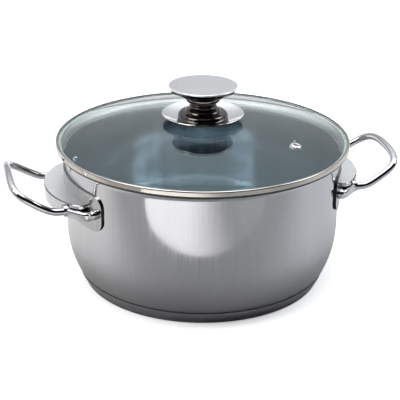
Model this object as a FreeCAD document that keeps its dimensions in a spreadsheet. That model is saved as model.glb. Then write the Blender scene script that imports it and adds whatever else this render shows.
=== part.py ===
import FreeCAD, Part
import math
import os
import Sketcher

# Two-handled stainless stock pot with a lift-off glass lid.
# Millimetres, +Z up, origin at the middle of the underside of the base, handles along X.

doc = FreeCAD.newDocument("StockPot")
sheet = doc.addObject("Spreadsheet::Sheet", "Sizes")


class Dim:
    """A length that carries its spreadsheet expression along with its value."""

    def __init__(self, value, text):
        self.value = float(value)
        self.text = text

    def __add__(self, other):
        return Dim(self.value + as_dim(other).value, f"({self.text} + {as_dim(other).text})")

    def __radd__(self, other):
        return as_dim(other) + self

    def __sub__(self, other):
        return Dim(self.value - as_dim(other).value, f"({self.text} - {as_dim(other).text})")

    def __rsub__(self, other):
        return as_dim(other) - self

    def __mul__(self, factor):
        return Dim(self.value * as_dim(factor).value, f"({self.text} * {as_dim(factor).text})")

    def __truediv__(self, factor):
        return Dim(self.value / as_dim(factor).value, f"({self.text} / {as_dim(factor).text})")


def as_dim(number):
    return number if isinstance(number, Dim) else Dim(number, repr(float(number)))


def size(alias, value):
    """Enter one driving dimension in the sheet and hand it back for use."""
    size.row += 1
    sheet.set(f"A{size.row}", alias.replace("_", " "))
    sheet.set(f"B{size.row}", str(value))
    sheet.setAlias(f"B{size.row}", alias)
    return Dim(value, f"Sizes.{alias}")


size.row = 0

# ---- driving dimensions: the pot ----
wall = size("wall_thickness", 0.9)
body_radius = size("body_radius", 117.5)
lip_height = size("lip_height", 119.5)
floor_height = size("floor_height", 7.0)
belly_rise = size("belly_rise", 48.0)
flare_height = size("flare_height", 6.5)
cap_skin = size("base_cap_skin", 0.6)
floor_radius = body_radius - size("floor_flat_inset", 19.0)
lip_radius = body_radius + size("lip_overhang", 6.5)
neck_height = lip_height - flare_height
foot_radius = body_radius - size("foot_inset", 16.1)
seam_radius = body_radius - size("seam_inset", 9.4)
seam_height = floor_height + size("seam_above_floor", 4.5)
core_radius = floor_radius + size("core_overhang", 0.5)

# ---- driving dimensions: the lid ----
seat_gap = size("lid_seat_gap", 0.3)
band_radius = lip_radius + size("lid_band_overhang", 1.0)
band_height = size("lid_band_height", 5.1)
band_sheet = size("lid_band_sheet", 0.5)
band_overlap = size("lid_band_overlap", 2.2)
locator_inset = size("lid_locator_inset", 4.3)
locator_depth = size("lid_locator_depth", 1.1)
glass_thickness = size("glass_thickness", 3.3)
glass_rise = size("glass_rise", 17.2)
glass_hole = size("glass_hole_radius", 4.2)
liner = size("liner_thickness", 0.35)
vent_distance = size("vent_distance", 87.0)
vent_angle = size("vent_direction", -43.0)
vent_hole = size("vent_hole_radius", 3.3)
knob_radius = size("knob_cap_radius", 29.35)
knob_height = size("knob_height", 29.2)
skirt_radius = size("knob_skirt_radius", 34.7)
skirt_sheet = size("knob_skirt_sheet", 1.0)
washer_thick = size("knob_washer_thickness", 0.7)
screw_radius = size("knob_screw_radius", 2.5)

# ---- driving dimensions: the handles, set out from the pot's wall and the rod's level ----
rod_radius = size("rod_radius", 3.3)
rod_spread = size("rod_spread", 0.3455)
rod_spacing = body_radius * rod_spread
rod_level = lip_height - size("rod_drop", 35.3)
bracket_overhang = size("bracket_overhang", 19.1)
bracket_reach = body_radius + bracket_overhang
loop_reach = bracket_reach + size("loop_overhang", 29.0)
loop_rise = size("loop_rise", 22.9)
strap_thick = size("strap_thickness", 1.6)
strap_low = rod_level - size("strap_below_rod", 12.7)
strap_high = rod_level + size("strap_above_rod", 17.8)
strap_angle = size("strap_angle", 67.4)
strap_corner = size("strap_corner", 10.0)
bracket_low = rod_level - size("bracket_below_rod", 4.7)
bracket_high = rod_level + size("bracket_above_rod", 7.3)
bracket_plate = size("bracket_plate_thickness", 2.9)
rivet_angle = size("rivet_angle", 30.3)
rivet_level = rod_level + size("rivet_above_rod", 2.8)
rivet_head = size("rivet_head_radius", 4.3)
rivet_shank = size("rivet_shank_radius", 2.0)
fit_gap = size("fit_gap", 0.05)
doc.recompute()

# ---- drawing helpers ----


def vector(point):
    return FreeCAD.Vector(as_dim(point[0]).value, as_dim(point[1]).value, 0)


def draw_outline(sketch, start, steps):
    """Draw a closed outline of lines, arcs and curves and tie every corner to the sheet."""
    corner = start
    ends = []
    for step in steps:
        kind = step[0]
        points = step[1:]
        if kind == "line":
            geometry = Part.LineSegment(vector(corner), vector(points[-1]))
        elif kind == "arc":
            geometry = Part.Arc(vector(corner), vector(points[0]), vector(points[1]))
        else:
            geometry = Part.BSplineCurve()
            geometry.interpolate([vector(corner)] + [vector(point) for point in points])
        index = sketch.addGeometry(geometry)
        near = (sketch.getPoint(index, 1) - vector(corner)).Length < 1e-6
        ends.append((index, 1 if near else 2, 2 if near else 1, corner))
        corner = points[-1]
    for place, (index, first, last, corner) in enumerate(ends):
        following = ends[(place + 1) % len(ends)]
        sketch.addConstraint(Sketcher.Constraint("Coincident", index, last, following[0], following[1]))
        for kind, axis, coordinate in (("DistanceX", -2, corner[0]), ("DistanceY", -1, corner[1])):
            length = as_dim(coordinate)
            if abs(length.value) < 1e-9:
                sketch.addConstraint(Sketcher.Constraint("PointOnObject", index, first, axis))
            else:
                number = sketch.addConstraint(
                    Sketcher.Constraint(kind, -1, 1, index, first, length.value))
                sketch.setExpression(f"Constraints[{number}]", length.text)


def new_body(label):
    body = doc.addObject("PartDesign::Body", label)
    body.Label = label
    return body


def new_sketch(body, name, role, height=None):
    """A sketch on one of the body's own origin planes, raised by an expression if asked."""
    sketch = body.newObject("Sketcher::SketchObject", name)
    plane = [item for item in body.Origin.OriginFeatures if item.Role == role][0]
    sketch.AttachmentSupport = [(plane, "")]
    sketch.MapMode = "FlatFace"
    if height is not None:
        sketch.setExpression("AttachmentOffset.Base.z", height.text)
    return sketch


def turned_body(label, start, steps):
    """A body turned about Z from an outline of (radius, height) points."""
    body = new_body(label)
    sketch = new_sketch(body, f"{label}_outline", "XZ_Plane")
    draw_outline(sketch, start, steps)
    turning = body.newObject("PartDesign::Revolution", f"{label}_turning")
    turning.Profile = sketch
    turning.ReferenceAxis = (sketch, ["V_Axis"])
    turning.Angle = 360
    body.Tip = turning
    doc.recompute()
    return body


def drill(body, name, radius, depth, placement):
    """Cut a round hole that starts at a placement and runs along its Z."""
    hole = body.newObject("PartDesign::SubtractiveCylinder", name)
    hole.setExpression("Radius", radius.text)
    hole.setExpression("Height", as_dim(depth).text)
    hole.Placement = placement
    body.Tip = hole
    doc.recompute()
    return hole


def radial_placement(angle, level, distance=0.0):
    """Z of the placement points outwards from the pot's axis."""
    turn = math.radians(angle)
    outward = FreeCAD.Vector(math.cos(turn), math.sin(turn), 0)
    return FreeCAD.Placement(
        outward * distance + FreeCAD.Vector(0, 0, level),
        FreeCAD.Rotation(FreeCAD.Vector(0, 0, 1), outward))


parts = []

# ---- pot shell: one deep-drawn sheet, a rounded belly, a straight neck and a flared lip ----
belly = [(12.9, 1.7), (10.0, 4.4), (7.3, 9.0), (3.5, 19.0), (0.9, 31.0)]
belly_top = floor_height + belly_rise
flare = [(0.8, 3.6), (2.5, 1.9)]


def outer_course():
    """The outer face of the shell from the flat floor up to the straight wall."""
    points = [(floor_radius, floor_height)]
    for inset, rise in belly:
        points.append((body_radius - inset, floor_height + rise))
    points.append((body_radius, belly_top))
    return points


low_course = outer_course()
curve = Part.BSplineCurve()
curve.interpolate([vector(point) for point in low_course])


def inner_point(point):
    """The point of the inner face that lies one sheet thickness inside the outer face."""
    slope = curve.tangent(curve.parameter(vector(point)))[0]
    slope.normalize()
    return (point[0] - wall * slope.y, point[1] + wall * slope.x)


inner_course = [inner_point(point) for point in low_course]
inner_course[0] = (floor_radius, floor_height + wall)
inner_course[-1] = (body_radius - wall, belly_top)
lip_edge = (lip_radius, lip_height - wall / 2)
lip_under = (lip_radius - wall / 2, lip_height - wall)
lip_top = (lip_radius - wall / 2, lip_height)
pot_body = turned_body(
    "pot_body",
    (0, floor_height),
    [
        ("line", low_course[0]),
        ("curve", *low_course[1:]),
        ("line", (body_radius, neck_height)),
        ("curve", *[(body_radius + spread, lip_height - drop) for spread, drop in flare], lip_under),
        ("arc", lip_edge, lip_top),
        ("curve", *[(body_radius + spread - wall * 0.55, lip_height - drop + wall * 0.75)
                    for spread, drop in reversed(flare)], (body_radius - wall, neck_height + 0.3)),
        ("line", inner_course[-1]),
        ("curve", *list(reversed(inner_course[:-1]))),
        ("line", (0, floor_height + wall)),
        ("line", (0, floor_height)),
    ])
drill_start = body_radius.value - 7.5
drill_run = 12.0
for side, facing in (("right", 0), ("left", 180)):
    for end, turn in (("front", -1), ("back", 1)):
        drill(pot_body, f"pot_body_{side}_{end}_hole", rivet_shank + fit_gap, drill_run,
              radial_placement(facing + turn * rivet_angle.value, rivet_level.value, drill_start))
parts.append(pot_body)

# ---- sandwich base: an aluminium disc under the floor, shut in by a stainless capsule ----
core_low = cap_skin
base_core = doc.addObject("Part::Cylinder", "base_core")
base_core.Label = "base_core"
base_core.setExpression("Radius", core_radius.text)
base_core.setExpression("Height", (floor_height - core_low).text)
base_core.setExpression("Placement.Base.z", core_low.text)
parts.append(base_core)

base_cap = turned_body(
    "base_cap",
    (0, 0),
    [
        ("line", (foot_radius, 0)),
        ("arc", (foot_radius + 1.5, 0.5), (foot_radius + 2.4, 1.9)),
        ("line", (seam_radius - 0.9, seam_height - 3.0)),
        ("curve", (seam_radius, seam_height)),
        ("line", (seam_radius - cap_skin + fit_gap * 3, seam_height)),
        ("line", (seam_radius - 0.9 - cap_skin, seam_height - 2.8)),
        ("line", (foot_radius + 2.4 - cap_skin, 2.1)),
        ("arc", (foot_radius + 1.1, 1.0), (foot_radius, cap_skin)),
        ("line", (0, cap_skin)),
        ("line", (0, 0)),
    ])
parts.append(base_cap)

# ---- lid: domed glass in a rolled steel band with a silicone liner ----
band_low = lip_height + seat_gap
band_top = band_low + band_height
channel_radius = band_radius - band_sheet
glass_edge = channel_radius - liner - fit_gap
glass_top = band_top - band_sheet - liner - fit_gap
glass_under = glass_top - glass_thickness
dome_radius = band_radius - 3.0
dome_run = dome_radius.value
sphere_radius = (dome_run ** 2 + glass_rise.value ** 2) / (2 * glass_rise.value)
sphere_centre = glass_top.value + glass_rise.value - sphere_radius


def dome_height(radius, depth=0.0):
    """Height of the dome at a radius, on a face sunk a depth below the top face."""
    return math.sqrt((sphere_radius - depth) ** 2 - radius ** 2) + sphere_centre


crown = glass_top + glass_rise
under_run = dome_radius - 0.9
lid_glass = turned_body(
    "lid_glass",
    (glass_hole, dome_height(glass_hole.value)),
    [
        ("arc", (dome_radius / 2, dome_height(dome_run / 2)), (dome_radius, glass_top)),
        ("line", (glass_edge, glass_top)),
        ("line", (glass_edge, glass_under)),
        ("line", (under_run, glass_under)),
        ("arc", (dome_radius / 2, dome_height(dome_run / 2, glass_thickness.value)),
         (glass_hole, dome_height(glass_hole.value, glass_thickness.value))),
        ("line", (glass_hole, dome_height(glass_hole.value))),
    ])
vent_turn = math.radians(vent_angle.value)
vent_tilt = math.asin(vent_distance.value / sphere_radius)
vent_axis = FreeCAD.Vector(
    math.sin(vent_tilt) * math.cos(vent_turn),
    math.sin(vent_tilt) * math.sin(vent_turn),
    math.cos(vent_tilt))
vent_seat = FreeCAD.Placement(
    FreeCAD.Vector(0, 0, sphere_centre) + vent_axis * sphere_radius,
    FreeCAD.Rotation(FreeCAD.Vector(0, 0, 1), vent_axis))
hole_start = vent_seat.multiply(FreeCAD.Placement(
    FreeCAD.Vector(0, 0, -2 * glass_thickness.value), FreeCAD.Rotation()))
drill(lid_glass, "lid_glass_vent_hole", vent_hole, glass_thickness * 3, hole_start)
parts.append(lid_glass)

band_inner = band_radius - band_overlap
locator_radius = lip_radius - locator_inset
lid_rim_band = turned_body(
    "lid_rim_band",
    (band_inner, band_top),
    [
        ("line", (band_radius - 0.8, band_top)),
        ("arc", (band_radius - 0.23, band_top - 0.23), (band_radius, band_top - 0.8)),
        ("line", (band_radius, band_low + 0.6)),
        ("arc", (band_radius - 0.18, band_low + 0.18), (band_radius - 0.6, band_low)),
        ("line", (locator_radius + band_sheet, band_low)),
        ("line", (locator_radius + band_sheet, band_low + band_sheet - locator_depth)),
        ("line", (locator_radius, band_low + band_sheet - locator_depth)),
        ("line", (locator_radius, band_low + band_sheet)),
        ("line", (channel_radius, band_low + band_sheet)),
        ("line", (channel_radius, band_top - band_sheet)),
        ("line", (band_inner, band_top - band_sheet)),
        ("line", (band_inner, band_top)),
    ])
parts.append(lid_rim_band)

rim_seal = turned_body(
    "rim_seal",
    (band_inner + 0.2, band_top - band_sheet),
    [
        ("line", (channel_radius - fit_gap, band_top - band_sheet)),
        ("line", (channel_radius - fit_gap, band_low + band_sheet)),
        ("line", (under_run + 0.4, band_low + band_sheet)),
        ("line", (under_run + 0.4, glass_under)),
        ("line", (glass_edge, glass_under)),
        ("line", (glass_edge, glass_top)),
        ("line", (band_inner + 0.2, glass_top)),
        ("line", (band_inner + 0.2, band_top - band_sheet)),
    ])
parts.append(rim_seal)

# ---- steam vent: a pressed eyelet through the glass on a silicone washer ----
vent_bore = vent_hole - 1.7
vent_tube = vent_hole - 0.9
vent_flange = vent_hole + 1.4
steam_vent = turned_body(
    "steam_vent",
    (vent_bore, 0.9),
    [
        ("line", (vent_tube, 1.0)),
        ("arc", (vent_flange - 0.5, 0.75), (vent_flange, 0.1)),
        ("line", (vent_tube, 0.1)),
        ("line", (vent_tube, 0 - glass_thickness - 1.0)),
        ("line", (vent_flange - 0.6, 0 - glass_thickness - 1.0)),
        ("line", (vent_flange - 0.6, 0 - glass_thickness - 1.6)),
        ("line", (vent_bore, 0 - glass_thickness - 1.6)),
        ("line", (vent_bore, 0.9)),
    ])
steam_vent.Placement = vent_seat
parts.append(steam_vent)

vent_seal = turned_body(
    "vent_seal",
    (vent_tube + fit_gap, 0),
    [
        ("line", (vent_hole - fit_gap, 0)),
        ("line", (vent_hole - fit_gap, 0 - glass_thickness - 0.1)),
        ("line", (vent_flange, 0 - glass_thickness - 0.1)),
        ("line", (vent_flange, 0 - glass_thickness - 0.95)),
        ("line", (vent_tube + fit_gap, 0 - glass_thickness - 0.95)),
        ("line", (vent_tube + fit_gap, 0)),
    ])
vent_seal.Placement = vent_seat
parts.append(vent_seal)

# ---- knob: washers, finger guard, ribbed stem, grip cap and the screw that holds them ----
guard_low = crown + washer_thick
guard_high = guard_low + skirt_sheet
knob_top = crown + knob_height
cap_low = knob_top - 7.7
grommet_radius = glass_hole - 0.15
bolt_way = screw_radius + 0.1
glass_floor = crown - glass_thickness
knob_upper_washer = turned_body(
    "knob_upper_washer",
    (bolt_way, guard_low),
    [
        ("line", (15.0, guard_low)),
        ("line", (15.0, crown)),
        ("line", (grommet_radius, crown)),
        ("line", (grommet_radius, glass_floor + 0.1)),
        ("line", (bolt_way, glass_floor + 0.1)),
        ("line", (bolt_way, guard_low)),
    ])
parts.append(knob_upper_washer)

guard_flat = 21.6
knob_skirt = turned_body(
    "knob_skirt",
    (bolt_way, guard_high),
    [
        ("line", (guard_flat, guard_high)),
        ("curve", (27.5, guard_high + 1.0), (skirt_radius - 0.3, guard_high + 3.2)),
        ("arc", (skirt_radius, guard_high + 2.9), (skirt_radius - 0.1, guard_high + 2.3)),
        ("curve", (27.8, guard_low + 1.0), (guard_flat, guard_low)),
        ("line", (bolt_way, guard_low)),
        ("line", (bolt_way, guard_high)),
    ])
parts.append(knob_skirt)

spigot_radius = 8.0
spigot_high = cap_low + 3.0
stem_hole_top = guard_high + 13.0
knob_stem = turned_body(
    "knob_stem",
    (bolt_way, guard_high),
    [
        ("line", (21.1, guard_high)),
        ("line", (21.3, guard_high + 0.8)),
        ("arc", (20.4, guard_high + 3.2), (18.3, guard_high + 4.6)),
        ("line", (16.2, guard_high + 5.0)),
        ("line", (15.8, guard_high + 4.6)),
        ("line", (15.3, guard_high + 5.1)),
        ("arc", (14.0, guard_high + 6.7), (11.7, guard_high + 7.7)),
        ("line", (10.6, guard_high + 8.2)),
        ("line", (10.5, guard_high + 8.9)),
        ("arc", (11.5, guard_high + 9.8), (10.5, guard_high + 10.7)),
        ("line", (10.5, guard_high + 11.0)),
        ("arc", (11.4, guard_high + 11.8), (10.6, guard_high + 12.6)),
        ("line", (14.0, guard_high + 14.0)),
        ("line", (14.2, guard_high + 14.7)),
        ("line", (13.4, guard_high + 15.2)),
        ("arc", (14.6, guard_high + 17.0), (17.2, cap_low)),
        ("line", (spigot_radius, cap_low)),
        ("line", (spigot_radius, spigot_high)),
        ("line", (0, spigot_high)),
        ("line", (0, stem_hole_top)),
        ("line", (bolt_way, stem_hole_top)),
        ("line", (bolt_way, guard_high)),
    ])
parts.append(knob_stem)

knob_cap = turned_body(
    "knob_cap",
    (0, knob_top),
    [
        ("line", (knob_radius - 0.9, knob_top)),
        ("arc", (knob_radius - 0.25, knob_top - 0.25), (knob_radius, knob_top - 0.9)),
        ("curve", (knob_radius - 0.9, knob_top - 2.7), (knob_radius - 3.4, knob_top - 5.5),
         (knob_radius - 8.0, cap_low)),
        ("line", (spigot_radius + fit_gap.value, cap_low)),
        ("line", (spigot_radius + fit_gap.value, spigot_high + 0.1)),
        ("line", (0, spigot_high + 0.1)),
        ("line", (0, knob_top)),
    ])
parts.append(knob_cap)

plate_high = glass_floor - washer_thick
plate_low = plate_high - 1.0
knob_lower_washer = turned_body(
    "knob_lower_washer",
    (bolt_way, glass_floor - 0.1),
    [
        ("line", (12.0, glass_floor - 0.25)),
        ("line", (12.0, plate_high)),
        ("line", (bolt_way, plate_high)),
        ("line", (bolt_way, glass_floor - 0.1)),
    ])
parts.append(knob_lower_washer)

knob_plate = turned_body(
    "knob_plate",
    (bolt_way, plate_high),
    [
        ("line", (13.6, plate_high)),
        ("arc", (13.9, plate_high - 0.2), (14.0, plate_high - 0.5)),
        ("line", (14.0, plate_low)),
        ("line", (bolt_way, plate_low)),
        ("line", (bolt_way, plate_high)),
    ])
parts.append(knob_plate)

screw_head = 4.6
head_low = plate_low - 2.6
knob_screw = turned_body(
    "knob_screw",
    (0, head_low),
    [
        ("arc", (screw_head * 0.6, head_low + 0.45), (screw_head, plate_low - 0.7)),
        ("line", (screw_head, plate_low)),
        ("line", (screw_radius, plate_low)),
        ("line", (screw_radius, stem_hole_top - 1.5)),
        ("line", (screw_radius - 0.6, stem_hole_top - 0.9)),
        ("line", (0, stem_hole_top - 0.9)),
        ("line", (0, head_low)),
    ])
for number, (length, width) in enumerate(((5.0, 1.1), (1.1, 5.0))):
    slot = knob_screw.newObject("PartDesign::SubtractiveBox", f"knob_screw_slot_{number}")
    slot.Length = length
    slot.Width = width
    slot.Height = 1.6
    slot.Placement.Base = FreeCAD.Vector(-length / 2, -width / 2, head_low.value - 0.2)
    knob_screw.Tip = slot
    doc.recompute()
parts.append(knob_screw)

# ---- handles: a bent rod set in a cast bracket on a strap that is riveted to the wall ----
strap_inner = body_radius + fit_gap * 2
strap_outer = strap_inner + strap_thick
plate_under = bracket_high - bracket_plate
tip_angle = 24.6
lug_angle = 28.3
lug_height = 7.8
lug_rounding = bracket_overhang * 0.136
mouth_reach = bracket_reach - 10.6
mouth_length = 7.0
mouth_wall = 1.75
socket_depth = 8.5
rod_seat = 8.0
breadth = body_radius / 117.5
bracket_seat = strap_outer + fit_gap


def polar(radius, angle):
    turn = math.radians(angle)
    return (radius * math.cos(turn), radius * math.sin(turn))


def kidney(points):
    """Points given back from the bracket's reach, their widths growing with the pot."""
    return [(bracket_reach - back, breadth * width) for back, width in points]


def mirrored(points):
    return [(x, 0 - as_dim(y)) for x, y in reversed(points)]


def handle_strap(side, facing):
    label = f"handle_{side}_back_plate"
    strap = new_body(label)
    sketch = new_sketch(strap, f"{label}_section", "XZ_Plane")
    draw_outline(sketch, (strap_inner, strap_low), [
        ("line", (strap_outer, strap_low)),
        ("line", (strap_outer, strap_high)),
        ("line", (strap_inner, strap_high)),
        ("line", (strap_inner, strap_low)),
    ])
    bend = strap.newObject("PartDesign::Revolution", f"{label}_bend")
    bend.Profile = sketch
    bend.ReferenceAxis = (sketch, ["V_Axis"])
    bend.Midplane = True
    bend.setExpression("Angle", strap_angle.text)
    strap.Tip = bend
    doc.recompute()
    corners = []
    for number, edge in enumerate(bend.Shape.Edges, 1):
        across = abs(edge.BoundBox.ZLength) < 1e-6 and edge.Length < strap_thick.value * 1.01
        if across:
            corners.append(f"Edge{number}")
    rounding = strap.newObject("PartDesign::Fillet", f"{label}_corners")
    rounding.Base = (bend, corners)
    rounding.setExpression("Radius", strap_corner.text)
    strap.Tip = rounding
    doc.recompute()
    for end, turn in (("front", -1), ("back", 1)):
        drill(strap, f"{label}_{end}_hole", rivet_shank + fit_gap, drill_run,
              radial_placement(turn * rivet_angle.value, rivet_level.value, drill_start))
    strap.Placement = FreeCAD.Placement(
        FreeCAD.Vector(), FreeCAD.Rotation(FreeCAD.Vector(0, 0, 1), facing))
    return strap


def handle_bracket(side, facing):
    label = f"handle_{side}_bracket"
    bracket = new_body(label)
    tip = polar(bracket_seat, tip_angle)
    lug_tip = polar(bracket_seat, lug_angle)
    edge = kidney([(24.2, 50.9), (19.4, 48.8), (14.4, 43.8), (8.8, 35.0), (3.9, 24.0), (1.0, 12.0)])
    top_sketch = new_sketch(bracket, f"{label}_plate_outline", "XY_Plane", plate_under)
    draw_outline(top_sketch, tip, [
        ("curve", *edge, (bracket_reach, 0)),
        ("curve", *mirrored(edge), (tip[0], 0 - as_dim(tip[1]))),
        ("arc", (bracket_seat, 0), tip),
    ])
    top_pad = bracket.newObject("PartDesign::Pad", f"{label}_plate")
    top_pad.Profile = top_sketch
    top_pad.setExpression("Length", bracket_plate.text)
    bracket.Tip = top_pad
    doc.recompute()
    rim = []
    for number, item in enumerate(top_pad.Shape.Edges, 1):
        level = abs(item.BoundBox.ZMin - bracket_high.value) < 1e-5
        flat = item.BoundBox.ZLength < 1e-5
        outer = item.BoundBox.XMax > bracket_reach.value - 1.0
        if level and flat and outer:
            rim.append(f"Edge{number}")
    bevel = bracket.newObject("PartDesign::Chamfer", f"{label}_bevel")
    bevel.Base = (top_pad, rim)
    bevel.Size = 0.8
    bracket.Tip = bevel
    doc.recompute()
    web_sketch = new_sketch(bracket, f"{label}_web_outline", "XY_Plane", bracket_low)
    inner_side = rod_spacing - 4.0
    web_edge = kidney([(9.6, 35.0), (4.5, 24.0), (1.6, 12.0)])
    foot = (math.sqrt(bracket_seat.value ** 2 - inner_side.value ** 2), inner_side)
    draw_outline(web_sketch, foot, [
        ("line", (bracket_reach - 11.6, inner_side)),
        ("curve", *web_edge, (bracket_reach - 0.6, 0)),
        ("curve", *mirrored(web_edge), (bracket_reach - 11.6, 0 - inner_side)),
        ("line", (foot[0], 0 - inner_side)),
        ("arc", (bracket_seat, 0), foot),
    ])
    web = bracket.newObject("PartDesign::Pad", f"{label}_web")
    web.Profile = web_sketch
    web.setExpression("Length", (plate_under - bracket_low).text)
    bracket.Tip = web
    doc.recompute()
    lug_base = polar(bracket_seat, 17.5)
    for end, way in (("front", -1), ("back", 1)):
        lug_sketch = new_sketch(bracket, f"{label}_{end}_lug_outline", "XY_Plane", bracket_low)
        course = [lug_tip, (lug_tip[0] + 3.6, lug_tip[1] + 1.2), *kidney([(21.4, 54.0), (16.4, 49.0)]),
                  (mouth_reach - 2.6, rod_spacing + 5.4), (mouth_reach - 2.6, rod_spacing - 6.1),
                  lug_base]
        flipped = [(x, as_dim(y) * way) for x, y in course]
        draw_outline(lug_sketch, flipped[0], [
            ("curve", *flipped[1:5]),
            ("line", flipped[5]),
            ("line", flipped[6]),
            ("arc", polar(bracket_seat, way * 22.0), flipped[0]),
        ])
        lug = bracket.newObject("PartDesign::Pad", f"{label}_{end}_lug")
        lug.Profile = lug_sketch
        lug.Length = lug_height
        bracket.Tip = lug
        doc.recompute()
        brims = []
        for number, item in enumerate(lug.Shape.Edges, 1):
            box = item.BoundBox
            outside = max(box.YMax * way, box.YMin * way) > lug_tip[1].value
            level = box.ZLength < 1e-5 and box.ZMax < plate_under.value - 0.5
            if outside and level and box.XLength > 12:
                brims.append(f"Edge{number}")
        softened = bracket.newObject("PartDesign::Fillet", f"{label}_{end}_softened")
        softened.Base = (lug, brims)
        softened.setExpression("Radius", lug_rounding.text)
        bracket.Tip = softened
        doc.recompute()
        mouth = bracket.newObject("PartDesign::AdditiveCylinder", f"{label}_{end}_mouth")
        mouth.setExpression("Radius", (rod_radius + mouth_wall).text)
        mouth.Height = mouth_length
        mouth.Placement = FreeCAD.Placement(
            FreeCAD.Vector(mouth_reach.value - mouth_length, way * rod_spacing.value, rod_level.value),
            FreeCAD.Rotation(FreeCAD.Vector(0, 1, 0), 90))
        bracket.Tip = mouth
        doc.recompute()
    for end, way in (("front", -1), ("back", 1)):
        start = FreeCAD.Placement(
            FreeCAD.Vector(mouth_reach.value - socket_depth, way * rod_spacing.value, rod_level.value),
            FreeCAD.Rotation(FreeCAD.Vector(0, 1, 0), 90))
        drill(bracket, f"{label}_{end}_socket", rod_radius + fit_gap, 30, start)
    bracket.Placement = FreeCAD.Placement(
        FreeCAD.Vector(), FreeCAD.Rotation(FreeCAD.Vector(0, 0, 1), facing))
    return bracket


def handle_loop(side, facing):
    label = f"handle_{side}_loop"
    level = rod_level.value
    spread = rod_spacing.value
    root = mouth_reach.value - rod_seat
    mouth_x = mouth_reach.value
    reach = loop_reach.value
    rise = loop_rise.value
    half = [
        FreeCAD.Vector(mouth_x, spread, level),
        FreeCAD.Vector(mouth_x + 11.0, spread, level),
        FreeCAD.Vector(reach - 15.3, spread - 0.9, level + rise * 0.36),
        FreeCAD.Vector(reach - 2.9, spread - 4.1, level + rise * 0.69),
        FreeCAD.Vector(reach + 0.5, spread * 0.54, level + rise * 0.91),
    ]
    crest = FreeCAD.Vector(reach - 0.1, 0, level + rise)
    other = [FreeCAD.Vector(point.x, -point.y, point.z) for point in reversed(half)]
    bow = Part.BSplineCurve()
    bow.buildFromPoles(half + [crest] + other, False, 3)
    legs = [
        Part.makeLine(FreeCAD.Vector(root, spread, level), half[0]),
        Part.makeLine(other[-1], FreeCAD.Vector(root, -spread, level)),
    ]
    path = doc.addObject("Part::Feature", f"{label}_path")
    path.Shape = Part.Wire([legs[0], bow.toShape(), legs[1]])
    section = doc.addObject("Part::Circle", f"{label}_section")
    section.setExpression("Radius", rod_radius.text)
    section.Placement = FreeCAD.Placement(
        FreeCAD.Vector(root, spread, level),
        FreeCAD.Rotation(FreeCAD.Vector(0, 1, 0), 90))
    loop = doc.addObject("Part::Sweep", label)
    loop.Label = label
    loop.Sections = [section]
    loop.Spine = (path, [f"Edge{number}" for number in range(1, len(path.Shape.Edges) + 1)])
    loop.Solid = True
    loop.Frenet = False
    loop.Placement = FreeCAD.Placement(
        FreeCAD.Vector(), FreeCAD.Rotation(FreeCAD.Vector(0, 0, 1), facing))
    return loop


def handle_rivets(side, facing):
    label = f"handle_{side}_rivets"
    ball_rise = 1.5
    ball_centre = strap_outer + ball_rise
    ball_cut = -math.degrees(math.asin((ball_rise - fit_gap.value) / rivet_head.value))
    button_face = body_radius - wall - 0.15
    button_radius = 4.6
    button_height = 1.3
    fasteners = []
    for end, turn in (("front", -1), ("back", 1)):
        ball = doc.addObject("Part::Sphere", f"{label}_{end}_ball")
        ball.setExpression("Radius", rivet_head.text)
        ball.Angle1 = ball_cut
        ball.setExpression("Placement.Base.z", ball_centre.text)
        shank = doc.addObject("Part::Cylinder", f"{label}_{end}_shank")
        shank.setExpression("Radius", rivet_shank.text)
        shank.setExpression("Height", (ball_centre - button_face).text)
        shank.setExpression("Placement.Base.z", button_face.text)
        button = doc.addObject("Part::Cylinder", f"{label}_{end}_button")
        button.Radius = button_radius
        button.Height = button_height
        button.setExpression("Placement.Base.z", (button_face - button_height).text)
        rivet = doc.addObject("Part::MultiFuse", f"{label}_{end}")
        rivet.Shapes = [ball, shank, button]
        rivet.Placement = radial_placement(facing + turn * rivet_angle.value, rivet_level.value)
        fasteners.append(rivet)
    pair = doc.addObject("Part::Compound", label)
    pair.Label = label
    pair.Links = fasteners
    return pair


for side, facing in (("left", 180), ("right", 0)):
    parts.append(handle_strap(side, facing))
    parts.append(handle_bracket(side, facing))
    parts.append(handle_loop(side, facing))
    parts.append(handle_rivets(side, facing))

doc.recompute()
for item in doc.Objects:
    if "Invalid" in item.State or "Error" in item.State:
        raise RuntimeError(f"{item.Label} did not compute: {item.State}")
for item in parts:
    if item.Shape.isNull() or not item.Shape.isValid() or not item.Shape.Solids:
        raise RuntimeError(f"{item.Label} is not a sound solid")
os.makedirs("parts", exist_ok=True)
for item in parts:
    item.Shape.exportStep(f"parts/{item.Label}.step")
    print(item.Label, len(item.Shape.Solids), round(item.Shape.Volume, 1))
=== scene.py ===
import math

import bpy
from mathutils import Matrix, Vector


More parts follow.
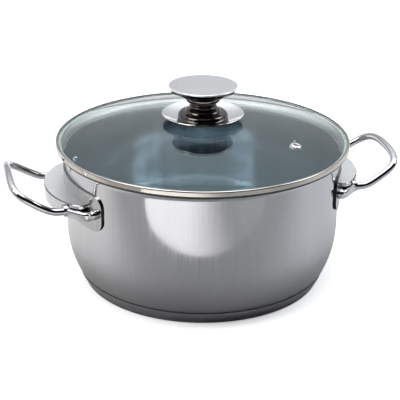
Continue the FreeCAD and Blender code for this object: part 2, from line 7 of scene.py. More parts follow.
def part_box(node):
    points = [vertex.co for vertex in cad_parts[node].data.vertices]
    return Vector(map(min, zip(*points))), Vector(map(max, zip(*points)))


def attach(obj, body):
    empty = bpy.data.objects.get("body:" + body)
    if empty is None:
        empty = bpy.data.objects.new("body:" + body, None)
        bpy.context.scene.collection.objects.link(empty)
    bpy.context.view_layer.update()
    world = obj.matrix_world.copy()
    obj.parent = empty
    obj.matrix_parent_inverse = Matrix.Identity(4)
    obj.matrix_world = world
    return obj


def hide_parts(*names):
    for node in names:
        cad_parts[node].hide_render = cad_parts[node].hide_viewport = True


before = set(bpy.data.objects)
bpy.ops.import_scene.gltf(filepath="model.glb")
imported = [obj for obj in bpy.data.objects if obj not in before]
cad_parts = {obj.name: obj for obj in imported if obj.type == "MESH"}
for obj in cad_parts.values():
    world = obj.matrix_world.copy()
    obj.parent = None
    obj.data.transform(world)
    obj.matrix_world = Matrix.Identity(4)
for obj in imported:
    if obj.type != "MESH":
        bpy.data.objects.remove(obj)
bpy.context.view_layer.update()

# ---- Pot shell ----
# One sheet of stainless steel, drawn in a press to a bowl with a rounded belly and a straight
# neck, then flared to a pouring lip. It is polished up and down outside and brushed inside.

MM = 0.001
shell_low, shell_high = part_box("pot_body")
floor_level = shell_low.z / MM
lip_level = shell_high.z / MM
lip_reach = shell_high.x / MM
lip_overhang = 6.5
wall_reach = lip_reach - lip_overhang
sheet = 0.9


def flow(poles, cuts=5):
    """A smooth run that starts and ends on its end poles and is drawn towards the others."""
    held = [poles[0]] * 2 + list(poles) + [poles[-1]] * 2
    run = []
    for place in range(len(held) - 3):
        four = held[place:place + 4]
        for step in range(cuts):
            t = step / cuts
            pull = ((1 - t) ** 3, 3 * t ** 3 - 6 * t * t + 4, -3 * t ** 3 + 3 * t * t + 3 * t + 1, t ** 3)
            run.append(tuple(sum(p * pole[axis] for p, pole in zip(pull, four)) / 6
                             for axis in range(len(poles[0]))))
    run.append(tuple(poles[-1]))
    return run


def spun(name, outline, steps=144, corner=32):
    """Draw a (radius, height) outline in millimetres and spin it once round the pot's axis."""
    bpy.ops.object.select_all(action="DESELECT")
    bpy.ops.mesh.primitive_plane_add(size=MM, location=(0, 0, 0))
    piece = bpy.context.object
    piece.name = name
    bpy.ops.object.mode_set(mode="EDIT")
    bpy.ops.mesh.select_all(action="SELECT")
    bpy.ops.mesh.merge(type="CENTER")
    bpy.ops.transform.translate(value=(outline[0][0] * MM, 0, outline[0][1] * MM))
    for last, here in zip(outline, outline[1:]):
        step = ((here[0] - last[0]) * MM, 0, (here[1] - last[1]) * MM)
        bpy.ops.mesh.extrude_vertices_move(TRANSFORM_OT_translate={"value": step})
    bpy.ops.mesh.select_all(action="SELECT")
    bpy.ops.mesh.spin(steps=steps, angle=math.tau, center=(0, 0, 0), axis=(0, 0, 1))
    bpy.ops.mesh.select_all(action="SELECT")
    bpy.ops.mesh.remove_doubles(threshold=2e-6)
    bpy.ops.mesh.normals_make_consistent(inside=False)
    bpy.ops.object.mode_set(mode="OBJECT")
    bpy.ops.object.shade_smooth_by_angle(angle=math.radians(corner))
    return piece


def put(tree, kind, sockets, **switches):
    """Add a shader node; each socket gets a value or another node's output."""
    node = tree.nodes.new("ShaderNode" + kind)
    for switch, setting in switches.items():
        setattr(node, switch, setting)
    for socket, value in sockets.items():
        if isinstance(value, bpy.types.NodeSocket):
            tree.links.new(value, node.inputs[socket])
        else:
            node.inputs[socket].default_value = value
    return node


def steel(name, light, dark, dull, grain, depth, turned=False):
    """Stainless steel with a brushed grain, set by its stretch, or in rings where it was turned."""
    finish = bpy.data.materials.new(name)
    finish.use_nodes = True
    tree = finish.node_tree
    shader = tree.nodes["Principled BSDF"]
    shader.inputs["Metallic"].default_value = 1.0
    place = put(tree, "TexCoord", {}).outputs["Object"]
    if turned:
        flat = put(tree, "VectorMath", {0: place, 1: (1.0, 1.0, 0.0)}, operation="MULTIPLY").outputs[0]
        reach = put(tree, "VectorMath", {0: flat}, operation="LENGTH").outputs["Value"]
        lines = put(tree, "TexNoise", {"W": reach, "Scale": grain[0], "Detail": 4.0},
                    noise_dimensions="1D").outputs[0]
    else:
        drawn = put(tree, "Mapping", {"Vector": place, "Scale": grain}).outputs[0]
        lines = put(tree, "TexNoise", {"Vector": drawn, "Scale": 1.0, "Detail": 4.0,
                                       "Roughness": 0.6}).outputs[0]
    smears = put(tree, "TexNoise", {"Vector": place, "Scale": 16.0, "Detail": 3.0}).outputs[0]
    worn = put(tree, "Math", {0: smears, 1: 0.6, 2: lines}, operation="MULTIPLY_ADD").outputs[0]
    rough = put(tree, "MapRange", {"Value": worn, "From Min": 0.45, "From Max": 1.1,
                                   "To Min": dull[0], "To Max": dull[1]}).outputs[0]
    tint = put(tree, "ValToRGB", {"Fac": lines})
    tint.color_ramp.elements[0].position, tint.color_ramp.elements[0].color = 0.3, (*dark, 1)
    tint.color_ramp.elements[1].position, tint.color_ramp.elements[1].color = 0.7, (*light, 1)
    bump = put(tree, "Bump", {"Height": lines, "Strength": depth, "Distance": 0.0002})
    tree.links.new(tint.outputs[0], shader.inputs["Base Color"])
    tree.links.new(rough, shader.inputs["Roughness"])
    tree.links.new(bump.outputs[0], shader.inputs["Normal"])
    return finish


def dress(piece, body, slot, *finishes):
    """Give a piece its finishes and the body that it moves with. The slot is not used."""
    piece.data.materials.clear()
    for finish in finishes:
        piece.data.materials.append(finish)
    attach(piece, body)


belly = [(wall_reach - inset, floor_level + rise) for inset, rise in
         ((19.0, 0.0), (15.6, 0.15), (12.6, 1.3), (9.9, 4.0), (7.1, 9.0), (3.3, 19.0), (0.7, 31.0),
          (0.0, 42.0), (0.0, 50.0))]
flare = [(wall_reach, lip_level - 7.5), (wall_reach, lip_level - 5.6), (wall_reach + 0.8, lip_level - 3.3),
         (wall_reach + 2.6, lip_level - 1.6), (lip_reach - 0.45, lip_level - sheet)]
lip = flow([(lip_reach - 0.45, lip_level - sheet), (lip_reach, lip_level - sheet),
            (lip_reach, lip_level), (lip_reach - 0.45, lip_level)], 3)
inner_flare = [(lip_reach - 0.45, lip_level), (wall_reach + 2.2, lip_level - 0.8),
               (wall_reach + 0.1, lip_level - 2.8), (wall_reach - sheet, lip_level - 5.2),
               (wall_reach - sheet, lip_level - 7.2)]
inner_belly = [(wall_reach - inset, floor_level + rise) for inset, rise in
               ((sheet, 50.0), (sheet, 42.0), (1.6, 31.2), (4.15, 19.3), (7.9, 9.4), (10.5, 4.7),
                (12.9, 2.1), (15.7, 1.0), (19.0, sheet))]
shell = spun("pot_shell", [(0, floor_level)] + flow(belly, 6) + flow(flare) + lip[1:-1]
             + flow(inner_flare) + flow(inner_belly, 6) + [(0, floor_level + sheet)], steps=180)
outer_polish = steel("pot_outer_polish", (0.53, 0.53, 0.54), (0.5, 0.5, 0.51), (0.05, 0.15),
                     (700.0, 700.0, 9.0), 0.008)
# The inner steel and floor rings are tinted blue: a painted colour cast of the light in the pot.
inner_brush = steel("pot_inner_brush", (0.48, 0.54, 0.6), (0.17, 0.21, 0.25), (0.08, 0.16),
                    (110.0, 110.0, 3.0), 0.03)
floor_rings = steel("pot_floor_rings", (0.33, 0.37, 0.41), (0.24, 0.28, 0.31), (0.12, 0.24),
                    (700.0,), 0.3, turned=True)
# Near-white steel: a painted sheen and painted highlight rings on the lip and the band's inner faces.
lip_painted_sheen = steel("pot_lip_painted_sheen", (0.95, 0.98, 0.97), (0.9, 0.94, 0.93), (0.4, 0.6),
                  (80.0, 80.0, 900.0), 0.08)
# Near-black steel for painted shade: shadow lines by the band, in the base seam, under the saucer, round
# the straps.
seam_shade = steel("seam_shade", (0.06, 0.06, 0.06), (0.03, 0.03, 0.03), (0.4, 0.6),
                   (700.0,), 0.1, turned=True)
flare_satin = steel("pot_flare_satin", (0.5, 0.54, 0.54), (0.42, 0.46, 0.46), (0.3, 0.5),
                    (80.0, 80.0, 900.0), 0.08)
dress(shell, "pot", "pot_steel", outer_polish, inner_brush, floor_rings, lip_painted_sheen, seam_shade, flare_satin)
flare_start = 1.0
flare_end = 4.6
lip_end = 6.2
floor_depth = 6
edge_shade = 1.3
# Lip rings get the painted sheen; outer faces just under the lip are painted shade under the band.
for face in shell.data.polygons:
    inward = face.normal.x * face.center.x + face.normal.y * face.center.y < 0
    if inward or face.normal.z > 0.3:
        below_lip = shell_high.z - face.center.z
        on_floor = face.center.z < shell_low.z + floor_depth * MM
        on_flare = flare_start * MM < below_lip < flare_end * MM
        on_lip = below_lip < lip_end * MM
        face.material_index = 5 if on_flare else 3 if on_lip else 2 if on_floor else 1
    elif face.center.z > shell_high.z - edge_shade * MM:
        face.material_index = 4
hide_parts("pot_body")

# ---- Sandwich base ----
# A thick aluminium disc is bonded under the pot's floor to spread the heat, and a thin stainless
# capsule is pressed over it. Its edge shows as a fine line round the belly, deepened by painted shade.

cap_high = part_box("base_cap")[1]
seam_reach = cap_high.x / MM
seam_level = cap_high.z / MM
capsule_bulge = 6.7
capsule_sheet = 0.6
seam_shade_width = 0.45
foot_reach = seam_reach - capsule_bulge
capsule = spun(
    "base_capsule",
    [(0, 0)]
    + flow([(foot_reach, 0), (foot_reach + 1.9, 0.1), (foot_reach + 2.4, 1.9), (foot_reach + 3.4, 3.8)])
    + flow([(seam_reach - 1.3, seam_level - 4.1), (seam_reach - 0.5, seam_level - 1.6),
            (seam_reach - 0.05, seam_level - 0.25), (seam_reach - 0.2, seam_level),
            (seam_reach - 0.45, seam_level)])
    + [(seam_reach - 1.5, seam_level - 2.8), (foot_reach + 1.8, 2.1)]
    + flow([(foot_reach + 1.8, 2.1), (foot_reach + 1.3, 0.7), (foot_reach, capsule_sheet)])
    + [(0, capsule_sheet)],
    steps=180)
base_polish = steel("base_polish", (0.5, 0.5, 0.52), (0.42, 0.42, 0.44), (0.16, 0.32), (700.0,), 0.15,
                    turned=True)
dress(capsule, "pot", "base_steel", base_polish, seam_shade)
# The capsule's top rim is painted shade, a dark line in the seam under the belly.
for face in capsule.data.polygons:
    if face.center.z > cap_high.z - seam_shade_width * MM:
        face.material_index = 1
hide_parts("base_cap")
core_metal = steel("core_aluminium", (0.8, 0.8, 0.8), (0.7, 0.7, 0.71), (0.35, 0.6), (500.0,), 0.3,
                   turned=True)
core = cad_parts["base_core"]
core.data.materials.clear()
core.data.materials.append(core_metal)

# ---- Lid pane ----
# Tempered soda-lime glass, slumped to a shallow dome over a mould, with a hole for the knob's
# screw in its middle and one for the steam vent. Its flat rim is held in the steel band.

pane_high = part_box("lid_glass")[1]
crown = pane_high.z / MM
dome_rise = 17.2
flat_rim = 2.1
rim_level = crown - dome_rise
glass = 3.3
pane_reach = pane_high.x / MM
dome_reach = pane_reach - flat_rim
sphere = (dome_reach ** 2 + dome_rise ** 2) / (2 * dome_rise)


def dome(reach, depth=0.0):
    """Height of the dome's face at a distance from the axis, sunk by a depth."""
    return math.sqrt((sphere - depth) ** 2 - reach ** 2) + crown - sphere


screw_hole = 4.2
vent_hole = 3.3
drill_length = 14
under_reach = dome_reach - 0.9
rings = 26
top_rings = [screw_hole + (dome_reach - screw_hole) * n / rings for n in range(rings)]
under_rings = [screw_hole + (under_reach - screw_hole) * n / rings for n in range(rings - 1, -1, -1)]
pane = spun(
    "lid_pane",
    [(reach, dome(reach)) for reach in top_rings]
    + flow([(dome_reach - 0.6, dome(dome_reach - 0.6)), (dome_reach, rim_level),
            (pane_reach - 0.8, rim_level)])
    + flow([(pane_reach - 0.8, rim_level), (pane_reach, rim_level), (pane_reach, rim_level - 0.8)], 3)[1:]
    + flow([(pane_reach, rim_level - glass + 0.8), (pane_reach, rim_level - glass),
            (pane_reach - 0.8, rim_level - glass)], 3)
    + [(under_reach, rim_level - glass)]
    + [(reach, dome(reach, glass)) for reach in under_rings]
    + [(screw_hole, dome(screw_hole))],
    steps=180)
vent_low, vent_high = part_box("steam_vent")
vent_middle = (vent_low + vent_high) / 2
vent_lean = math.atan2(math.hypot(vent_middle.x, vent_middle.y), vent_middle.z - (crown - sphere) * MM)
vent_turn = math.atan2(vent_middle.y, vent_middle.x)
vent_place = (Matrix.Translation((0, 0, (crown - sphere) * MM)) @ Matrix.Rotation(vent_turn, 4, "Z")
              @ Matrix.Rotation(vent_lean, 4, "Y") @ Matrix.Translation((0, 0, sphere * MM)))
bpy.ops.object.select_all(action="DESELECT")
bpy.ops.mesh.primitive_cylinder_add(vertices=48, radius=vent_hole * MM, depth=drill_length * MM)
drill = bpy.context.object
drill.matrix_world = vent_place
bpy.context.view_layer.objects.active = pane
cut = pane.modifiers.new("vent_hole", "BOOLEAN")
cut.operation = "DIFFERENCE"
cut.solver = "EXACT"
cut.object = drill
bpy.ops.object.modifier_apply(modifier="vent_hole")
bpy.data.objects.remove(drill)
clear_glass = bpy.data.materials.new("lid_clear_glass")
clear_glass.use_nodes = True
tree = clear_glass.node_tree
shader = tree.nodes["Principled BSDF"]
shader.inputs["Transmission Weight"].default_value = 1.0
shader.inputs["IOR"].default_value = 1.5
# The blue specular tint is a painted colour cast in the glass's reflections.
shader.inputs["Specular Tint"].default_value = (0.5, 0.85, 1.0, 1)
place = put(tree, "TexCoord", {}).outputs["Object"]
slump = put(tree, "TexNoise", {"Vector": place, "Scale": 9.0, "Detail": 1.0}).outputs[0]
wave = put(tree, "Bump", {"Height": slump, "Strength": 0.06, "Distance": 0.002})
tree.links.new(wave.outputs[0], shader.inputs["Normal"])
film = put(tree, "TexNoise", {"Vector": place, "Scale": 22.0, "Detail": 4.0}).outputs[0]
haze = put(tree, "MapRange", {"Value": film, "From Min": 0.5, "From Max": 0.8, "To Min": 0.0,
                              "To Max": 0.03}).outputs[0]
tree.links.new(haze, shader.inputs["Roughness"])
green = put(tree, "ValToRGB", {"Fac": film})
green.color_ramp.elements[0].color = (0.9, 0.97, 0.95, 1)
green.color_ramp.elements[1].color = (0.93, 0.985, 0.97, 1)
tree.links.new(green.outputs[0], shader.inputs["Base Color"])
dress(pane, "lid", "lid_glass", clear_glass)
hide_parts("lid_glass")

# ---- Lid band and its seal ----
# A strip of stainless steel, roll-formed to a channel round the edge of the glass and welded to
# a ring. A grey silicone liner cushions the glass, and a small inner lip locates the lid.

band_low, band_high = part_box("lid_rim_band")
band_reach = band_high.x / MM
locator_depth = 0.6
band_foot = band_low.z / MM + locator_depth
band_top = band_high.z / MM
skin = 0.5
locator_inset = 5.3
keeper = band_reach - locator_inset
band = spun(
    "lid_band",
    flow([(band_reach - 2.2, band_top - 0.12), (band_reach - 2.1, band_top),
          (band_reach - 1.9, band_top)], 3)
    + flow([(band_reach - 1.3, band_top), (band_reach - 0.35, band_top - 0.1),
            (band_reach, band_top - 0.9), (band_reach, band_top - 1.8)])
    + flow([(band_reach, band_foot + 1.4), (band_reach, band_foot + 0.1), (band_reach - 1.2, band_foot)])
    + [(keeper + skin, band_foot), (keeper + skin, band_foot - locator_depth),
       (keeper, band_foot - locator_depth),
       (keeper, band_foot + skin), (band_reach - skin, band_foot + skin),
       (band_reach - skin, band_top - skin), (band_reach - 2.2, band_top - skin),
       (band_reach - 2.2, band_top - 0.12)],
    steps=180)
# Polished steel with a warm cream tint painted in for the warm highlight it shows.
band_polish = steel("band_polish", (0.6, 0.57, 0.53), (0.5, 0.47, 0.43), (0.05, 0.12),
                    (60.0, 60.0, 900.0), 0.03)
dress(band, "lid", "band_steel", band_polish, seam_shade, lip_painted_sheen)
# The band's foot and inner top edge are painted shade lines; its inner faces get the painted sheen.
for face in band.data.polygons:
    reach = math.hypot(face.center.x, face.center.y)
    under_rim = face.center.z < (band_foot + 0.9) * MM and reach > (band_reach - 1.5) * MM
    inner_edge = face.center.z > (band_top - 0.6) * MM and reach < (band_reach - 1.9) * MM
    face.material_index = 1 if under_rim or inner_edge else 2 if reach < (band_reach - 2.0) * MM else 0
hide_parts("lid_rim_band")


def soft_rubber(name, low, high):
    """Moulded silicone, matt, with a fine skin and a little dust."""
    finish = bpy.data.materials.new(name)
    finish.use_nodes = True
    tree = finish.node_tree
    shader = tree.nodes["Principled BSDF"]
    place = put(tree, "TexCoord", {}).outputs["Object"]
    speck = put(tree, "TexNoise", {"Vector": place, "Scale": 900.0, "Detail": 3.0}).outputs[0]
    tint = put(tree, "ValToRGB", {"Fac": speck})
    tint.color_ramp.elements[0].color = (*low, 1)
    tint.color_ramp.elements[1].color = (*high, 1)
    rough = put(tree, "MapRange", {"Value": speck, "To Min": 0.4, "To Max": 0.65}).outputs[0]
    bump = put(tree, "Bump", {"Height": speck, "Strength": 0.15, "Distance": 0.0001})
    tree.links.new(tint.outputs[0], shader.inputs["Base Color"])
    tree.links.new(rough, shader.inputs["Roughness"])
    tree.links.new(bump.outputs[0], shader.inputs["Normal"])
    return finish


grey_silicone = soft_rubber("grey_silicone", (0.8, 0.88, 0.86), (0.88, 0.94, 0.92))
for node in ("rim_seal", "vent_seal", "knob_upper_washer", "knob_lower_washer"):
    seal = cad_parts[node]
    seal.data.materials.clear()
    seal.data.materials.append(grey_silicone)

# ---- Steam vent ----
# A stainless eyelet, pushed through the glass with a silicone washer under it and curled over
# inside, so that steam gets out through its small bore.

eyelet = spun(
    "vent_eyelet",
    flow([(1.6, -4.8), (1.6, 0.6), (1.9, 1.05), (2.6, 1.1)], 4)
    + flow([(3.4, 1.05), (4.3, 0.8), (4.7, 0.35), (4.65, 0.1)], 4)
    + [(2.4, 0.1), (2.4, -4.3), (4.1, -4.3)]
    + flow([(4.1, -4.6), (4.1, -4.9), (3.8, -4.9)], 3)
    + [(1.7, -4.9), (1.6, -4.8)],
    steps=64)
eyelet.data.transform(vent_place)
vent_metal = steel("vent_satin", (0.8, 0.8, 0.81), (0.66, 0.66, 0.67), (0.16, 0.3),
                   (900.0, 900.0, 900.0), 0.1)
dress(eyelet, "lid", "vent_steel", vent_metal)
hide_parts("steam_vent")

# ---- Knob ----
# Four turned and pressed steel pieces on one screw: a saucer that guards the fingers from the
# glass, a ribbed waist, and a broad cap with a brushed top, tightened from under the glass.

guard_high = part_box("knob_skirt")[1]
guard_dish = 3.2
guard = guard_high.z / MM - guard_dish
bore = 2.6
brim = 20.0
guard_reach = guard_high.x / MM
saucer = spun(
    "knob_guard",
    [(bore, guard)]
    + flow([(brim, guard), (22.6, guard + 0.1), (27.5, guard + 1.0), (32.0, guard + 2.4),
            (guard_reach - 0.5, guard + guard_dish)])
    + flow([(guard_reach - 0.25, guard + guard_dish), (guard_reach, guard + 2.9),
            (guard_reach - 0.1, guard + 2.3)], 4)
    + flow([(guard_reach - 1.0, guard + 1.9), (27.8, guard), (22.6, guard - 0.95),
            (brim, guard - 1.0)])
    + [(bore, guard - 1.0), (bore, guard)],
    steps=120)
mirror_steel = steel("knob_mirror", (0.98, 0.98, 0.99), (0.94, 0.94, 0.95), (0.03, 0.07), (900.0,), 0.02,
                     turned=True)
dress(saucer, "lid", "knob_polished", mirror_steel, seam_shade)
# The saucer's underside and rim edge are painted shade, a dark line under the guard.
for face in saucer.data.polygons:
    face.material_index = 1 if face.normal.z < 0.2 else 0
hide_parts("knob_skirt")

cap_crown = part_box("knob_cap")[1]
grip_top = cap_crown.z / MM
grip_depth = 7.7
socket = 3.0
grip_foot = grip_top - grip_depth
grip_reach = cap_crown.x / MM
waist = spun(
    "knob_waist",
    [(bore, guard), (20.9, guard)]
    + flow([(21.1, guard), (21.4, guard + 1.0), (20.9, guard + 2.8), (19.6, guard + 4.2),
            (17.6, guard + 4.8), (16.4, guard + 5.0)])
    + [(16.1, guard + 4.75), (15.8, guard + 4.6), (15.5, guard + 4.8)]
    + flow([(15.4, guard + 5.1), (14.6, guard + 6.6), (12.6, guard + 7.6), (11.0, guard + 8.0),
            (10.5, guard + 8.4)])
    + [(10.45, guard + 8.9)]
    + flow([(10.5, guard + 8.95), (11.3, guard + 9.1), (11.7, guard + 9.8), (11.3, guard + 10.5),
            (10.5, guard + 10.7)], 4)
    + [(10.45, guard + 10.85)]
    + flow([(10.5, guard + 11.0), (11.4, guard + 11.2), (11.6, guard + 11.9), (11.2, guard + 12.5),
            (10.7, guard + 12.6)], 4)
    + flow([(10.9, guard + 12.7), (13.0, guard + 13.3), (14.2, guard + 14.0), (14.35, guard + 14.7),
            (13.6, guard + 15.1)], 4)
    + flow([(13.4, guard + 15.2), (13.8, guard + 16.8), (15.4, guard + 18.4), (17.2, grip_foot)])
    + [(8.0, grip_foot), (8.0, grip_foot + socket), (0, grip_foot + socket), (0, guard + 13.0),
       (bore, guard + 13.0), (bore, guard)],
    steps=120)
# Polished steel painted near-black: painted shade and dark reflections on the waist and under the cap.
polish_painted_shade = steel("knob_polish_painted_shade", (0.13, 0.12, 0.11), (0.08, 0.07, 0.07), (0.03, 0.08),
                     (60.0, 60.0, 900.0), 0.03)
dress(waist, "lid", "knob_stem_steel", polish_painted_shade)
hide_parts("knob_stem")

grip = spun(
    "knob_grip",
    [(0, grip_top), (grip_reach - 1.4, grip_top)]
    + flow([(grip_reach - 1.0, grip_top), (grip_reach - 0.2, grip_top - 0.1), (grip_reach, grip_top - 0.5),
            (grip_reach - 0.05, grip_top - 1.2)], 4)
    + flow([(grip_reach - 0.4, grip_top - 1.9), (grip_reach - 1.4, grip_top - 3.6),
            (grip_reach - 3.6, grip_top - 5.7), (grip_reach - 6.4, grip_top - 7.1),
            (grip_reach - 8.4, grip_foot)])
    + [(8.05, grip_foot), (8.05, grip_foot + 3.1), (0, grip_foot + 3.1)],
    steps=120)
brushed_top = steel("knob_brushed_top", (0.82, 0.82, 0.83), (0.66, 0.66, 0.67), (0.26, 0.42),
                    (1500.0,), 0.35, turned=True)
dress(grip, "lid", "knob_brushed", brushed_top, mirror_steel, polish_painted_shade)
# The cap's top is brushed and its sides polished; its underside is painted shade.
for face in grip.data.polygons:
    face.material_index = 0 if face.normal.z > 0.9 else 2 if face.normal.z < -0.2 else 1
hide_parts("knob_cap")
for node in ("knob_plate", "knob_screw"):
    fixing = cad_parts[node]
    fixing.data.materials.clear()
    fixing.data.materials.append(vent_metal)

# ---- Handle straps, brackets, rods and rivets ----
# On each side a curved strap is riveted to the wall with two round-headed rivets. A cast
# kidney-shaped bracket is welded to it, and a bent round rod is set in the bracket's two mouths.


def refined(node, name, corner=30):
    """A merged and smoothly shaded copy of a CAD node, which it stands for."""
    piece = bpy.data.objects.new(name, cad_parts[node].data.copy())
    bpy.context.scene.collection.objects.link(piece)
    bpy.ops.object.select_all(action="DESELECT")
    piece.select_set(True)
    bpy.context.view_layer.objects.active = piece
    bpy.ops.mesh.customdata_custom_splitnormals_clear()
    bpy.ops.object.mode_set(mode="EDIT")
    bpy.ops.mesh.select_all(action="SELECT")
    bpy.ops.mesh.remove_doubles(threshold=5e-6)
    bpy.ops.object.mode_set(mode="OBJECT")
    bpy.ops.object.shade_smooth_by_angle(angle=math.radians(corner))
    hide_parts(node)
    return piece


rod_mirror = steel("rod_mirror", (0.6, 0.6, 0.61), (0.54, 0.54, 0.55), (0.02, 0.05),
                   (300.0, 300.0, 300.0), 0.01)
strap_polish = steel("strap_polish", (0.46, 0.46, 0.46), (0.36, 0.36, 0.36), (0.1, 0.22),
                     (500.0, 500.0, 30.0), 0.08)
cast_polish = steel("bracket_polish", (0.6, 0.6, 0.61), (0.52, 0.52, 0.53), (0.08, 0.18),
                    (200.0, 200.0, 200.0), 0.05)
cast_satin = steel("bracket_satin", (0.95, 0.95, 0.96), (0.84, 0.84, 0.85), (0.28, 0.44),
                   (60.0, 900.0, 60.0), 0.25)
# Dark steel painted on the bracket's rounded top border: painted shade and dark reflection lines.
cast_edge_painted_shade = steel("bracket_edge_painted_shade", (0.25, 0.25, 0.25), (0.18, 0.18, 0.18), (0.05, 0.12),
                  (200.0, 200.0, 200.0), 0.05)
for side in ("left", "right"):
    facing = 1 if side == "right" else -1
    strap = refined(f"handle_{side}_back_plate", f"{side}_strap")
    dress(strap, "pot", "strap_steel", strap_polish, seam_shade)
    # The strap's sides and underside are painted shade, a dark outline against the wall.
    for face in strap.data.polygons:
        outward = Vector((face.center.x, face.center.y, 0)).normalized()
        if abs(face.normal.dot(outward)) < 0.5 and face.normal.z < 0.5:
            face.material_index = 1
    bracket = refined(f"handle_{side}_bracket", f"{side}_bracket")
    dress(bracket, "pot", "bracket_steel", cast_polish, cast_satin, cast_edge_painted_shade)
    bracket_top = max(vertex.co.z for vertex in bracket.data.vertices)
    # The flat top is satin; the rounded border below it is painted shade.
    for face in bracket.data.polygons:
        if face.normal.z > 0.99 and face.center.z > bracket_top - 0.1 * MM:
            face.material_index = 1
        elif face.normal.z > 0.1 and face.center.z > bracket_top - 2.0 * MM:
            face.material_index = 2
    rivets = refined(f"handle_{side}_rivets", f"{side}_rivets")
    dress(rivets, "pot", "rivet_steel", rod_mirror)

    rod_low, rod_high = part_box(f"handle_{side}_loop")
    rod = 3.3
    crest = rod_high.z / MM - rod
    rise = 22.9
    level = crest - rise
    reach = rod_high.x / MM - rod if side == "right" else -rod_low.x / MM - rod
    spread = 40.6
    root = 118.5
    mouth = 126.0
    half = [(root, spread, level), (root + 3.0, spread, level), (mouth - 2.0, spread, level),
            (mouth + 3.0, spread, level), (mouth + 11.0, spread, level + 0.2),
            (reach - 15.3, spread - 0.9, level + 8.2), (reach - 2.9, spread - 4.1, level + 15.8),
            (reach + 0.7, spread * 0.54, level + 20.8)]
    course = half + [(reach, 0.0, crest)] + [(x, -y, z) for x, y, z in reversed(half)]
    bpy.ops.object.select_all(action="DESELECT")
    bpy.ops.curve.primitive_nurbs_path_add()
    bow = bpy.context.object
    bow.name = f"{side}_rod"
    spline = bow.data.splines[0]
    spline.points.add(len(course) - len(spline.points))
    for point, (x, y, z) in zip(spline.points, course):
        point.co = (facing * x * MM, facing * y * MM, z * MM, 1)
    spline.use_endpoint_u = True
    spline.order_u = 4
    spline.resolution_u = 10
    bow.data.bevel_depth = rod * MM
    bow.data.bevel_resolution = 10
    bow.data.use_fill_caps = True
    bpy.ops.object.convert(target="MESH")
    bow = bpy.context.object
    bow.data.transform(bow.matrix_world)
    bow.matrix_world = Matrix.Identity(4)
    bpy.ops.object.mode_set(mode="EDIT")
    bpy.ops.mesh.select_all(action="SELECT")
    bpy.ops.mesh.remove_doubles(threshold=2e-6)
    bpy.ops.mesh.normals_make_consistent(inside=False)
    bpy.ops.object.mode_set(mode="OBJECT")
    bpy.ops.object.shade_smooth_by_angle(angle=math.radians(40))
    dress(bow, "pot", "rod_steel", rod_mirror)
    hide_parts(f"handle_{side}_loop")

# ---- Table, light and camera ----
# A plain pale table under soft studio light. Glowing cards lie before the pot, beside it and
# behind it, and show only in the polished steel and the glass.

swing = Matrix.Rotation(math.radians(-14), 4, "Z")


def faded(tree, value, start, end, low, high):
    """A smooth change from one strength to another between two places."""
    return put(tree, "MapRange", {"Value": value, "From Min": start, "From Max": end, "To Min": low,
                                  "To Max": high}, interpolation_type="SMOOTHSTEP").outputs[0]


def glowing(name, colour, across, outward=(0.0, 0.001, 1.0, 1.0), deep=(0.0, 0.001, 1.0, 1.0)):
    """Light cloth whose glow changes from left to right, outwards from the pot and front to back."""
    finish = bpy.data.materials.new(name)
    finish.use_nodes = True
    tree = finish.node_tree
    tree.nodes.remove(tree.nodes["Principled BSDF"])
    place = put(tree, "TexCoord", {}).outputs["Object"]
    axes = put(tree, "SeparateXYZ", {"Vector": place})
    reach = put(tree, "VectorMath", {0: place}, operation="LENGTH").outputs["Value"]
    sideways = faded(tree, axes.outputs["X"], *across)
    far = faded(tree, reach, *outward)
    back = faded(tree, axes.outputs["Y"], *deep)
    first = put(tree, "Math", {0: sideways, 1: far}, operation="MULTIPLY").outputs[0]
    strength = put(tree, "Math", {0: first, 1: back}, operation="MULTIPLY").outputs[0]
    glow = put(tree, "Emission", {"Color": (*colour, 1), "Strength": strength})
    clear = put(tree, "BsdfTransparent", {"Color": (1, 1, 1, 1)})
    both = put(tree, "AddShader", {0: glow.outputs[0], 1: clear.outputs[0]})
    tree.links.new(both.outputs[0], tree.nodes["Material Output"].inputs["Surface"])
    return finish


bpy.ops.object.select_all(action="DESELECT")
bpy.ops.mesh.primitive_circle_add(vertices=96, radius=7, fill_type="NGON", location=(0, 0, -0.0003))
table = bpy.context.object
table.name = "table_top"
table_paint = bpy.data.materials.new("table_paint")
table_paint.use_nodes = True
tree = table_paint.node_tree
tree.nodes.remove(tree.nodes["Principled BSDF"])
place = put(tree, "TexCoord", {}).outputs["Object"]
mottle = put(tree, "TexNoise", {"Vector": place, "Scale": 3.0, "Detail": 2.0}).outputs[0]
tint = put(tree, "ValToRGB", {"Fac": mottle})
tint.color_ramp.elements[0].color = (0.86, 0.86, 0.86, 1)
tint.color_ramp.elements[1].color = (0.9, 0.9, 0.9, 1)
pale = put(tree, "BsdfDiffuse", {"Color": tint.outputs[0]})
fill = put(tree, "Emission", {"Color": (1, 1, 1, 1), "Strength": 0.5})
lit = put(tree, "AddShader", {0: pale.outputs[0], 1: fill.outputs[0]})
dim = put(tree, "BsdfDiffuse", {"Color": (0.3, 0.3, 0.31, 1)})
mirrored = put(tree, "LightPath", {}).outputs["Is Glossy Ray"]
both = put(tree, "MixShader", {0: mirrored, 1: lit.outputs[0], 2: dim.outputs[0]})
tree.links.new(both.outputs[0], tree.nodes["Material Output"].inputs["Surface"])
table.data.materials.append(table_paint)


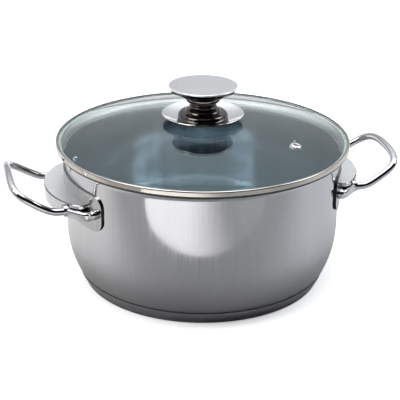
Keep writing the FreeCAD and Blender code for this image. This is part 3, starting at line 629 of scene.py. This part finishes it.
def card(name, middle, half_width, half_depth, rounding, glow):
    """A glowing card on the table that shows only in reflections."""
    bpy.ops.object.select_all(action="DESELECT")
    bpy.ops.mesh.primitive_plane_add(size=2, location=(0, 0, 0))
    cloth = bpy.context.object
    cloth.name = name
    bpy.ops.object.mode_set(mode="EDIT")
    bpy.ops.mesh.select_all(action="SELECT")
    bpy.ops.transform.resize(value=(half_width, half_depth, 1))
    bpy.ops.mesh.bevel(offset=rounding, segments=12, affect="VERTICES")
    bpy.ops.transform.translate(value=middle)
    bpy.ops.object.mode_set(mode="OBJECT")
    cloth.matrix_world = swing
    cloth.data.materials.append(glow)
    for ray in ("camera", "diffuse", "transmission", "volume_scatter", "shadow"):
        setattr(cloth, "visible_" + ray, False)


card("front_card", (0.03, -0.45, 0.006), 0.3, 0.205, 0.13,
     glowing("front_card_glow", (1.0, 0.99, 0.98), (-0.07, 0.12, 1.15, 0.08)))
card("left_card", (-0.46, 0.0, 0.003), 0.6, 0.6, 0.2,
     glowing("left_card_glow", (1.0, 0.97, 0.95), (-0.24, 0.0, 0.64, 0.0), (0.05, 0.17, 0.0, 1.0),
             (-0.21, -0.07, 0.2, 1.0)))
card("right_card", (0.46, 0.0, 0.004), 0.6, 0.6, 0.2,
     glowing("right_card_glow", (0.93, 0.97, 1.0), (0.02, 0.24, 0.0, 0.44), (0.05, 0.17, 0.0, 1.0),
             (-0.22, -0.03, 0.22, 1.0)))
card("back_card", (0.0, 1.9, 0.002), 2.5, 1.6, 0.4,
     glowing("back_card_glow", (1.0, 1.0, 1.0), (-1.0, 1.0, 0.75, 0.75), (0.3, 0.6, 0.0, 1.0)))

studio = bpy.data.worlds.new("studio")
bpy.context.scene.world = studio
studio.use_nodes = True
tree = studio.node_tree
tree.nodes.clear()
direction = put(tree, "TexCoord", {}).outputs["Generated"]
parts = put(tree, "SeparateXYZ", {"Vector": direction})
up = parts.outputs["Z"]
front_ramp = put(tree, "ValToRGB", {"Fac": up})
back_ramp = put(tree, "ValToRGB", {"Fac": up})
for ramp, stops in (
        (front_ramp.color_ramp, ((0.0, 0.3), (0.03, 0.1), (0.07, 0.01), (0.84, 0.01), (0.92, 1.1),
                                 (1.0, 1.4))),
        (back_ramp.color_ramp, ((0.0, 0.9), (0.08, 0.75), (0.2, 0.38), (0.45, 0.5), (0.8, 1.0),
                                (1.0, 1.2)))):
    while len(ramp.elements) < len(stops):
        ramp.elements.new(0.5)
    for element, (position, value) in zip(ramp.elements, stops):
        element.position = position
        element.color = (value * 0.97, value, value * 1.03, 1)
behind = put(tree, "MapRange", {"Value": parts.outputs["Y"], "From Min": -0.3, "From Max": 0.35}).outputs[0]
blended = put(tree, "Mix", {"Factor": behind, 6: front_ramp.outputs[0], 7: back_ramp.outputs[0]},
              data_type="RGBA")
sky = put(tree, "Background", {"Color": blended.outputs[2], "Strength": 1.3})
white = put(tree, "Background", {"Color": (1, 1, 1, 1), "Strength": 1.0})
seen = put(tree, "LightPath", {}).outputs["Is Camera Ray"]
both = put(tree, "MixShader", {0: seen, 1: sky.outputs[0], 2: white.outputs[0]})
put(tree, "OutputWorld", {"Surface": both.outputs[0]})


def soft_light(name, place, watts, width, colour):
    """A square soft box that points at the middle of the pot."""
    lamp = bpy.data.lights.new(name, "AREA")
    lamp.energy = watts
    lamp.size = width
    lamp.color = colour
    box = bpy.data.objects.new(name, lamp)
    bpy.context.scene.collection.objects.link(box)
    box.location = swing @ Vector(place)
    box.rotation_euler = (Vector((0, 0, 0.06)) - box.location).to_track_quat("-Z", "Y").to_euler()


soft_light("left_soft_box", (-0.9, -0.5, 1.2), 9, 0.8, (1.0, 0.97, 0.93))
soft_light("right_soft_box", (1.1, 0.2, 1.1), 6, 0.7, (0.92, 0.96, 1.0))
soft_light("top_soft_box", (0.0, 0.1, 1.6), 9, 1.2, (1.0, 1.0, 1.0))

lens = bpy.data.cameras.new("camera")
lens.sensor_width = 36.0
lens.lens = 107.09
camera = bpy.data.objects.new("camera", lens)
bpy.context.scene.collection.objects.link(camera)
pitch, roll, yaw = 0.4011, 0.01, -0.0018
ahead = Vector((math.sin(yaw) * math.cos(pitch), math.cos(yaw) * math.cos(pitch), -math.sin(pitch)))
across = Vector((math.cos(yaw), -math.sin(yaw), 0))
upward = across.cross(ahead)
sideways = across * math.cos(roll) + upward * math.sin(roll)
overhead = upward * math.cos(roll) - across * math.sin(roll)
turned = Matrix((sideways, overhead, -ahead)).transposed().to_4x4()
camera.matrix_world = swing @ Matrix.Translation((0, -0.95633, 0.47098)) @ turned
bpy.context.scene.camera = camera
bpy.context.scene.view_settings.view_transform = "Standard"
